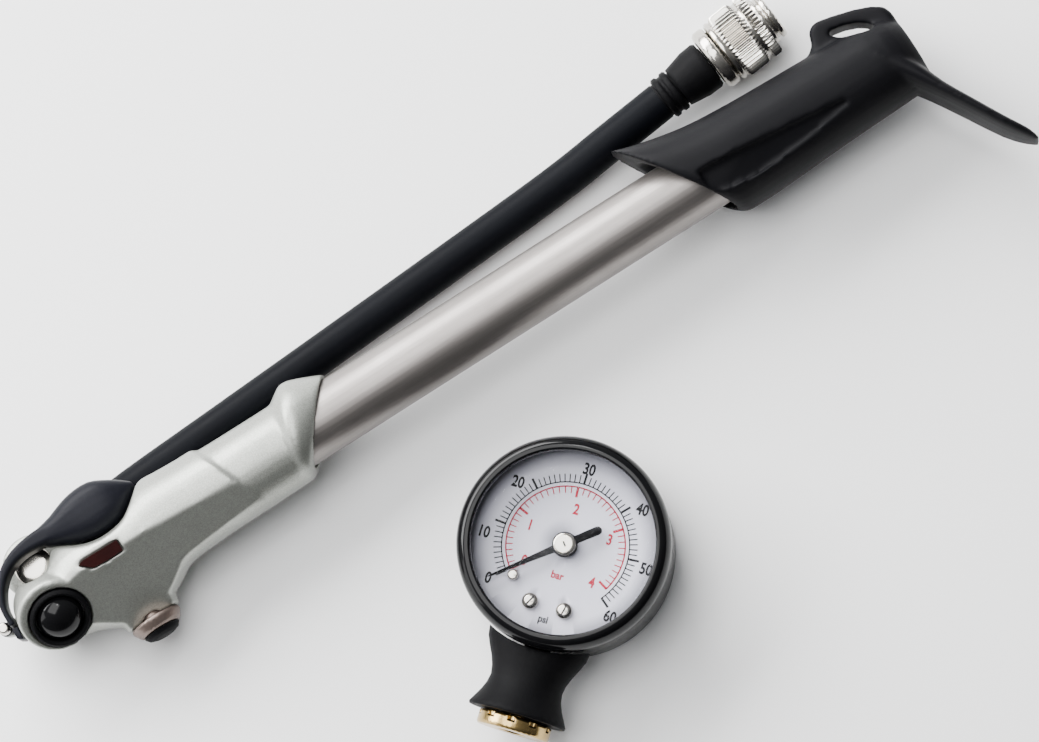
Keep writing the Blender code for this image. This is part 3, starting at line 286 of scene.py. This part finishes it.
for mat, names in finishes.items():
    for name in names:
        for slot in nodes[name].material_slots:
            slot.material = mat

# The lens is clear acrylic with a few smudges that catch the light.
clear = bpy.data.materials.new("lens_acrylic")
clear.use_nodes = True
tree = clear.node_tree
shader = tree.nodes["Principled BSDF"]
shader.inputs["Base Color"].default_value = (0.03, 0.03, 0.035, 1)
shader.inputs["Specular IOR Level"].default_value = 1.0
spot = add(tree, "TexCoord")
smudge = add(tree, "TexNoise", {"Vector": spot.outputs["Object"], "Scale": 90.0, "Detail": 4.0})
haze = add(tree, "MapRange", {"Value": smudge.outputs["Fac"], "From Min": 0.45, "From Max": 0.8,
                              "To Min": 0.015, "To Max": 0.05})
gloss = add(tree, "MapRange", {"Value": smudge.outputs["Fac"], "To Min": 0.03, "To Max": 0.14})
tree.links.new(haze.outputs["Result"], shader.inputs["Alpha"])
tree.links.new(gloss.outputs["Result"], shader.inputs["Roughness"])
for slot in nodes["gauge_lens"].material_slots:
    slot.material = clear

# ------------------------------------------------------------------- hose
# The hose lies from the swivel's stub to the chuck. Its route repeats the CAD's points.
def smooth_line(points, steps):
    """Points along a Catmull-Rom curve through the given ones."""
    line = []
    for k in range(len(points) - 1):
        a, b, c, d = (Vector(points[min(max(k + i, 0), len(points) - 1)]) for i in (-1, 0, 1, 2))
        for i in range(steps):
            t = i / steps
            line.append(0.5 * (2 * b + (c - a) * t + (2 * a - 5 * b + 4 * c - d) * t * t
                               + (3 * b - a - 3 * c + d) * t ** 3))
    return line + [Vector(points[-1])]


hose_route = smooth_line([
    (0.00019, 0.01608, 0.00465), (0.0080, 0.0173, 0.00465), (0.0180, 0.0185, 0.00465),
    (0.0430, 0.0198, 0.00465), (0.0680, 0.0211, 0.00465), (0.1030, 0.0230, 0.00465),
    (0.1380, 0.0251, 0.00465), (0.1560, 0.02675, 0.00615), (0.1708, 0.02816, 0.00732)], 6)
curve = bpy.data.curves.new("hose", "CURVE")
curve.dimensions = "3D"
curve.bevel_depth = 0.0046
curve.bevel_resolution = 9
curve.use_fill_caps = True
spline = curve.splines.new("POLY")
spline.points.add(len(hose_route) - 1)
for point, at in zip(spline.points, hose_route):
    point.co = (*at, 1)
spline.use_smooth = True
hose = bpy.data.objects.new("hose", curve)
bpy.context.scene.collection.objects.link(hose)
curve.materials.append(hose_skin)
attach(hose, "hose")
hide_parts("hose_tube")


# ------------------------------------------------------ cast and moulded parts
# The head, the grip and the lever again, with every edge rounded over as casting and moulding leave it.
def new_piece(name, mesh, body, mat, *stands_for):
    """Place a finished mesh in the scene, on its body, in its material."""
    piece = bpy.data.objects.new(name, mesh)
    bpy.context.scene.collection.objects.link(piece)
    mesh.materials.clear()
    mesh.materials.append(mat)
    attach(piece, body)
    if stands_for:
        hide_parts(*stands_for)
    return piece


def recast(node, body, mat, grain_size, passes, kept):
    """Remake a CAD node as one even skin, and smooth and thin it."""
    raw = bpy.data.meshes.new(node + "_raw")
    bm = bmesh.new()
    bm.from_mesh(nodes[node].data)
    bmesh.ops.remove_doubles(bm, verts=bm.verts, dist=1e-6)
    bm.to_mesh(raw)
    bm.free()
    draft = bpy.data.objects.new(node + "_draft", raw)
    bpy.context.scene.collection.objects.link(draft)
    skin = draft.modifiers.new("skin", "REMESH")
    skin.mode = "VOXEL"
    skin.voxel_size = grain_size
    soften = draft.modifiers.new("soften", "SMOOTH")
    soften.factor = 0.5
    soften.iterations = passes
    thin = draft.modifiers.new("thin", "DECIMATE")
    thin.ratio = kept
    evaluated = draft.evaluated_get(bpy.context.evaluated_depsgraph_get())
    mesh = bpy.data.meshes.new_from_object(evaluated)
    bpy.data.objects.remove(draft)
    bpy.data.meshes.remove(raw)
    mesh.name = node + "_soft"
    mesh.shade_smooth()
    return new_piece(node + "_soft", mesh, body, mat, node)


recast("head_casting", "pump", pearl, 0.00042, 14, 0.5)
recast("handle_grip", "piston", grip_plastic, 0.0005, 8, 0.45)
recast("foot_lever", "lever", lever_paint, 0.0003, 8, 0.5)

# -------------------------------------------------------------- chuck ring
# Straight knurling too fine for the CAD, on the ring's own axis.
turn_joint = joints["chuck_ring_turn"]
chuck_axis = Vector(turn_joint["axis"]).normalized()
chuck_at = Vector(turn_joint["pos_m"])
chuck_side = chuck_axis.cross(Vector((0, 0, 1))).normalized()
chuck_turn = Matrix((chuck_side, chuck_axis.cross(chuck_side), chuck_axis)).transposed()


def reach(node, origin, direction):
    """How far a CAD node's points lie along a direction, lowest and highest."""
    along = [(vert.co - origin).dot(direction) for vert in nodes[node].data.vertices]
    return min(along), max(along)


def outer_radius(node, origin, direction):
    """The largest distance of a CAD node's points from an axis."""
    return max((vert.co - origin).cross(direction).length for vert in nodes[node].data.vertices)


def finish_mesh(bm, name, turn, origin):
    """Turn and move a mesh drawn about its own Z axis to its place, and face it outwards."""
    bmesh.ops.remove_doubles(bm, verts=bm.verts, dist=1e-6)
    bmesh.ops.transform(bm, matrix=Matrix.Translation(origin) @ turn.to_4x4(), verts=bm.verts)
    bmesh.ops.recalc_face_normals(bm, faces=bm.faces)
    mesh = bpy.data.meshes.new(name)
    bm.to_mesh(mesh)
    bm.free()
    mesh.shade_smooth()
    mesh.set_sharp_from_angle(angle=math.radians(40))
    return mesh


def turned_skin(bm, profile, sides, ribs=0):
    """Close a turned profile into a ring. A profile point's third value is how deep its ribs cut."""
    rows = []
    for radius, height, depth in profile:
        row = []
        for k in range(sides):
            angle = 2 * math.pi * k / sides
            cut = depth * (0.5 - 0.5 * math.cos(ribs * angle)) ** 0.6 if ribs else 0.0
            out = radius - cut
            row.append(bm.verts.new((out * math.cos(angle), out * math.sin(angle), height)))
        rows.append(row)
    for a, b in zip(rows, rows[1:] + rows[:1]):
        for k in range(sides):
            bm.faces.new((a[k], a[(k + 1) % sides], b[(k + 1) % sides], b[k]))


low, high = reach("chuck_ring", chuck_at, chuck_axis)
rim = outer_radius("chuck_ring", chuck_at, chuck_axis)
bore = 0.0065
knurl = 0.0006
knurl_count = 48
bm = bmesh.new()
turned_skin(bm, [
    (bore, low, 0), (rim - 0.0010, low, 0), (rim - 0.0005, low + 0.0004, 0), (rim - 0.0004, low + 0.0009, 0),
    (rim - 0.0006, low + 0.0013, 0), (rim - 0.0008, low + 0.0016, 0), (rim - 0.0005, low + 0.0019, 0.0001),
    (rim - 0.0001, low + 0.0024, 0.00055), (rim, low + 0.0030, knurl), (rim, low + 0.0070, knurl),
    (rim - 0.0001, low + 0.0075, 0.00055), (rim - 0.0006, low + 0.0080, 0.0001),
    (rim - 0.0009, low + 0.0083, 0), (rim - 0.0009, low + 0.0089, 0), (rim - 0.0002, low + 0.0092, 0.0001),
    (rim, low + 0.0095, knurl), (rim, high - 0.0004, knurl), (rim - 0.0004, high, 0.0001),
    (bore, high, 0)], 8 * knurl_count, knurl_count)
knurled = new_piece("chuck_ring_knurled", finish_mesh(bm, "chuck_ring_knurled", chuck_turn, chuck_at),
                    "chuck_ring", nickel, "chuck_ring")

# A rubber sleeve inside the collar and the boot, so that no light passes between them.
low = reach("hose_collar", chuck_at, chuck_axis)[0]
high = reach("hose_boot", chuck_at, chuck_axis)[1]
inner = 0.0008
outer = 0.0044
bm = bmesh.new()
turned_skin(bm, [(inner, low - 0.0006, 0), (outer, low - 0.0006, 0), (outer, high + 0.0002, 0),
                 (inner, high + 0.0002, 0)], 48)
sleeve = new_piece("hose_sleeve", finish_mesh(bm, "hose_sleeve", chuck_turn, chuck_at), "hose", soft_rubber)

# ------------------------------------------------------------------ bezel
# The gauge's own axes, and its bezel again, rolled over in one smooth lip.
needle_joint = joints["needle_sweep"]
gauge_up = -Vector(needle_joint["axis"]).normalized()
gauge_y = -Vector(joints["gauge_nut_turn"]["axis"]).normalized()
gauge_x = gauge_y.cross(gauge_up).normalized()
gauge_turn = Matrix((gauge_x, gauge_y, gauge_up)).transposed()
gauge_at = Vector(needle_joint["pos_m"])
low, high = reach("gauge_bezel", gauge_at, gauge_up)
rim = outer_radius("gauge_bezel", gauge_at, gauge_up)
seat = reach("gauge_lens", gauge_at, gauge_up)[1] + 0.0003
window = rim - 0.0035
lip_width = 0.0030
lip_drop = 0.0026
shares = [k / 12 for k in range(12)]
lip = [(window + 0.0005 + lip_width * share, high - lip_drop * share ** 3, 0) for share in shares]
bm = bmesh.new()
turned_skin(bm, [(window + 0.0016, low, 0), (window + 0.0016, seat, 0), (window, seat, 0),
                 (window, high - 0.0010, 0), (window + 0.0001, high - 0.0005, 0),
                 (window + 0.0003, high - 0.0001, 0)] + lip
            + [(rim, high - 0.0028, 0), (rim, low + 0.0002, 0), (rim - 0.0002, low, 0)], 160)
new_piece("gauge_bezel_rolled", finish_mesh(bm, "gauge_bezel_rolled", gauge_turn, gauge_at), "gauge",
          black_gloss, "gauge_bezel")

# --------------------------------------------------------------- dial print
# Scales, figures and units, printed just above the dial about the needle's axis.
dial_face = reach("gauge_dial", gauge_at, gauge_up)[1] + 0.00003
zero = math.radians(219)
full_psi = 60
per_psi = math.radians(4.3)
full_bar = 4
per_bar = math.radians(62.3)


def mark(bm, angle, inner, outer, width):
    """A flat bar along a radius."""
    along = Vector((math.cos(angle), math.sin(angle), 0))
    side = Vector((-along.y, along.x, 0)) * width / 2
    corners = (along * inner - side, along * outer - side, along * outer + side, along * inner + side)
    bm.faces.new([bm.verts.new(corner + Vector((0, 0, dial_face))) for corner in corners])


def line(bm, start, end, radius, width):
    """A flat arc about the axis."""
    steps = 96
    rows = []
    for k in range(steps + 1):
        angle = start + (end - start) * k / steps
        rows.append([bm.verts.new((r * math.cos(angle), r * math.sin(angle), dial_face))
                     for r in (radius - width / 2, radius + width / 2)])
    for a, b in zip(rows, rows[1:]):
        bm.faces.new((a[0], b[0], b[1], a[1]))


def letters(bm, text, x, y, height, narrow=0.78):
    """Flat lettering, centred on a point of the dial."""
    font = bpy.data.curves.new("lettering", "FONT")
    font.body = text
    font.size = height * 1.38
    font.align_x = "CENTER"
    font.align_y = "CENTER"
    font.resolution_u = 3
    font.offset = height * 0.045
    holder = bpy.data.objects.new("lettering", font)
    bpy.context.scene.collection.objects.link(holder)
    mesh = bpy.data.meshes.new_from_object(holder.evaluated_get(bpy.context.evaluated_depsgraph_get()))
    mesh.transform(Matrix.Translation((x, y, dial_face)) @ Matrix.Diagonal((narrow, 1, 1, 1)))
    bm.from_mesh(mesh)
    bpy.data.objects.remove(holder)
    bpy.data.curves.remove(font)
    bpy.data.meshes.remove(mesh)


def print_piece(bm, name, mat):
    """Put a print on the dial, facing out of it."""
    bmesh.ops.transform(bm, matrix=Matrix.Translation(gauge_at) @ gauge_turn.to_4x4(), verts=bm.verts)
    for face in bm.faces:
        face.normal_update()
        if face.normal.dot(gauge_up) < 0:
            face.normal_flip()
    mesh = bpy.data.meshes.new(name)
    bm.to_mesh(mesh)
    bm.free()
    return new_piece(name, mesh, "gauge", mat)


black_print = bmesh.new()
for psi in range(full_psi + 1):
    outer, width = (0.0174, 0.00055) if psi % 10 == 0 else (0.0167, 0.00028)
    mark(black_print, zero - psi * per_psi, 0.01475, outer, width)
line(black_print, zero, zero - full_psi * per_psi, 0.0148, 0.00030)
for k, (x, y) in enumerate([(-0.0150, -0.0122), (-0.0191, -0.0022), (-0.0148, 0.0110), (0.0002, 0.0183),
                            (0.0147, 0.0128), (0.0194, -0.0002), (0.0146, -0.0130)]):
    letters(black_print, str(k * 10), x, y, 0.0027)
letters(black_print, "psi", 0.0, -0.0178, 0.0017, 0.9)
print_piece(black_print, "dial_print_black", ink_black)

red_print = bmesh.new()
for tenth in range(full_bar * 10 + 1):
    inner, width = (0.0114, 0.00058) if tenth % 10 == 0 else (0.0122, 0.00026)
    mark(red_print, zero - tenth * per_bar / 10, inner, 0.01390, width)
line(red_print, zero, zero - full_bar * per_bar, 0.0138, 0.00034)
for k, (x, y) in enumerate([(-0.0082, -0.0060), (-0.0092, 0.0022), (0.0, 0.0086), (0.0094, 0.0040),
                            (0.0083, -0.0066)]):
    letters(red_print, str(k), x, y, 0.0025)
letters(red_print, "bar", 0.0002, -0.0072, 0.0018, 0.9)
print_piece(red_print, "dial_print_red", ink_red)

# ------------------------------------------------------------- round pieces
# Copies of the turned CAD nodes with four times their sides, about the axis that each is turned on, and
# plain copies of the other nodes, with their corners joined.
def centre(node):
    """Middle of a CAD node's box."""
    lowest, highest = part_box(node)
    return (Vector(lowest) + Vector(highest)) / 2


def refined(node, origin, direction, times):
    """Split every edge and push the new points out to the radius that their neighbours have."""
    farthest = 1.036  # the middle of a twelve-sided round's flat moves out by no more than this share
    bm = bmesh.new()
    bm.from_mesh(nodes[node].data)
    bmesh.ops.remove_doubles(bm, verts=bm.verts, dist=1e-6)
    radius = bm.verts.layers.float.new("radius")
    for _ in range(times):
        for vert in bm.verts:
            out = vert.co - origin
            vert[radius] = (out - direction * out.dot(direction)).length
        bmesh.ops.subdivide_edges(bm, edges=bm.edges[:], cuts=1)
        for vert in bm.verts:
            out = vert.co - origin
            spoke = out - direction * out.dot(direction)
            if 1e-6 < spoke.length < vert[radius] < spoke.length * farthest:
                vert.co += spoke * (vert[radius] / spoke.length - 1)
    bmesh.ops.triangulate(bm, faces=bm.faces)
    mesh = bpy.data.meshes.new(node + "_fine")
    bm.to_mesh(mesh)
    bm.free()
    mesh.shade_smooth()
    mesh.set_sharp_from_angle(angle=math.radians(30))
    return mesh


def axis_point(node):
    """Mean of a turned CAD node's corners, which lies on its axis."""
    corners = {tuple(round(value, 7) for value in vert.co) for vert in nodes[node].data.vertices}
    return sum((Vector(corner) for corner in corners), Vector()) / len(corners)


nose_tilt = math.radians(35)
nose_axis = Vector((0, -math.sin(nose_tilt), math.cos(nose_tilt)))
nose_at = axis_point("nose_cap")
turned_about = [
    (barrel_axis, Vector((1, 0, 0)), ["barrel_tube", "barrel_seal", "valve_seat", "valve_flap", "rod_guide",
                                      "top_bumper", "piston_rod", "rod_screw", "piston_head", "piston_seal",
                                      "piston_nut"]),
    (nose_at, nose_axis, ["nose_ring"]),
    (centre("boss_cap"), Vector((0, 1, 0)), ["boss_cap", "boss_pad"]),
    (centre("lever_pin"), Vector((0, 0, 1)), ["lever_pin"]),
    (centre("hub_bolt"), Vector((0, 0, 1)), ["hub_bolt", "hose_hub"]),
    (chuck_at, chuck_axis, ["hose_collar", "hose_boot", "chuck_body", "chuck_seal", "valve_pin"]),
    (gauge_at, gauge_up, ["gauge_case", "gauge_lens", "gauge_dial", "needle_cap", "bourdon_tube"]),
    (centre("dial_screw_left"), gauge_up, ["dial_screw_left"]),
    (centre("dial_screw_right"), gauge_up, ["dial_screw_right"]),
    (centre("stop_pin"), gauge_up, ["stop_pin"]),
    (centre("gauge_nut"), gauge_y, ["gauge_neck", "gauge_nut", "nut_seal"]),
]
plain = ["hinge_cover", "movement_plate", "gauge_needle", "gauge_socket", "label_inlay"]
body_of = {name: body for body, names in frame["record"]["behaviour"]["bodies"].items() for name in names}

# The nose cap again, with a smooth dome on its stem. The ring's bore is too small to see.
low, high = reach("nose_cap", nose_at, nose_axis)
rim = outer_radius("nose_cap", nose_at, nose_axis)
bore = 0.00002
stem = 0.0029
dome_height = 0.0035
seat = high - 0.0047
turns = [math.pi / 2 * k / 14 for k in range(14)]
dome = [(rim * math.cos(t), high + dome_height * (math.sin(t) ** 1.24 - 1), 0) for t in turns]
bm = bmesh.new()
turned_skin(bm, [(bore, low, 0), (stem, low, 0), (stem, seat, 0), (rim, seat, 0)] + dome
            + [(bore, high, 0)], 96)
across_nose = Vector((1, 0, 0))
nose_turn = Matrix((across_nose, nose_axis.cross(across_nose), nose_axis)).transposed()
new_piece("nose_cap_domed", finish_mesh(bm, "nose_cap_domed", nose_turn, nose_at), body_of["nose_cap"],
          black_gloss, "nose_cap")

for origin, direction, names in turned_about:
    for name in names:
        new_piece(name + "_fine", refined(name, origin, direction, 2), body_of[name],
                               nodes[name].data.materials[0], name)
for name in plain:
    new_piece(name + "_fine", refined(name, centre(name), Vector((0, 0, 1)), 0), body_of[name],
              nodes[name].data.materials[0], name)

# Slots across the heads of the dial's screws and the needle's cap, drawn as dark bars let into them: painted
# shade that stands in for the shadow inside each slot
for node, angle, length in (("dial_screw_left", 62, 0.0026), ("dial_screw_right", 78, 0.0026),
                            ("needle_cap", 129, 0.0013)):
    top = reach(node, gauge_at, gauge_up)[1]
    middle = centre(node) - gauge_at
    bm = bmesh.new()
    bmesh.ops.create_cube(bm, size=1.0)
    bmesh.ops.scale(bm, vec=(length, 0.0004, 0.0002), verts=bm.verts)
    bmesh.ops.rotate(bm, matrix=Matrix.Rotation(math.radians(angle), 3, "Z"), verts=bm.verts)
    bmesh.ops.translate(bm, vec=(middle.dot(gauge_x), middle.dot(gauge_y), top - 0.00005), verts=bm.verts)
    mesh = finish_mesh(bm, node + "_slot_shade", gauge_turn, gauge_at)
    # the bar's black ink is painted shade, the shadow inside the slot, not the screw's own colour
    new_piece(node + "_slot_shade", mesh, body_of[node], ink_black)
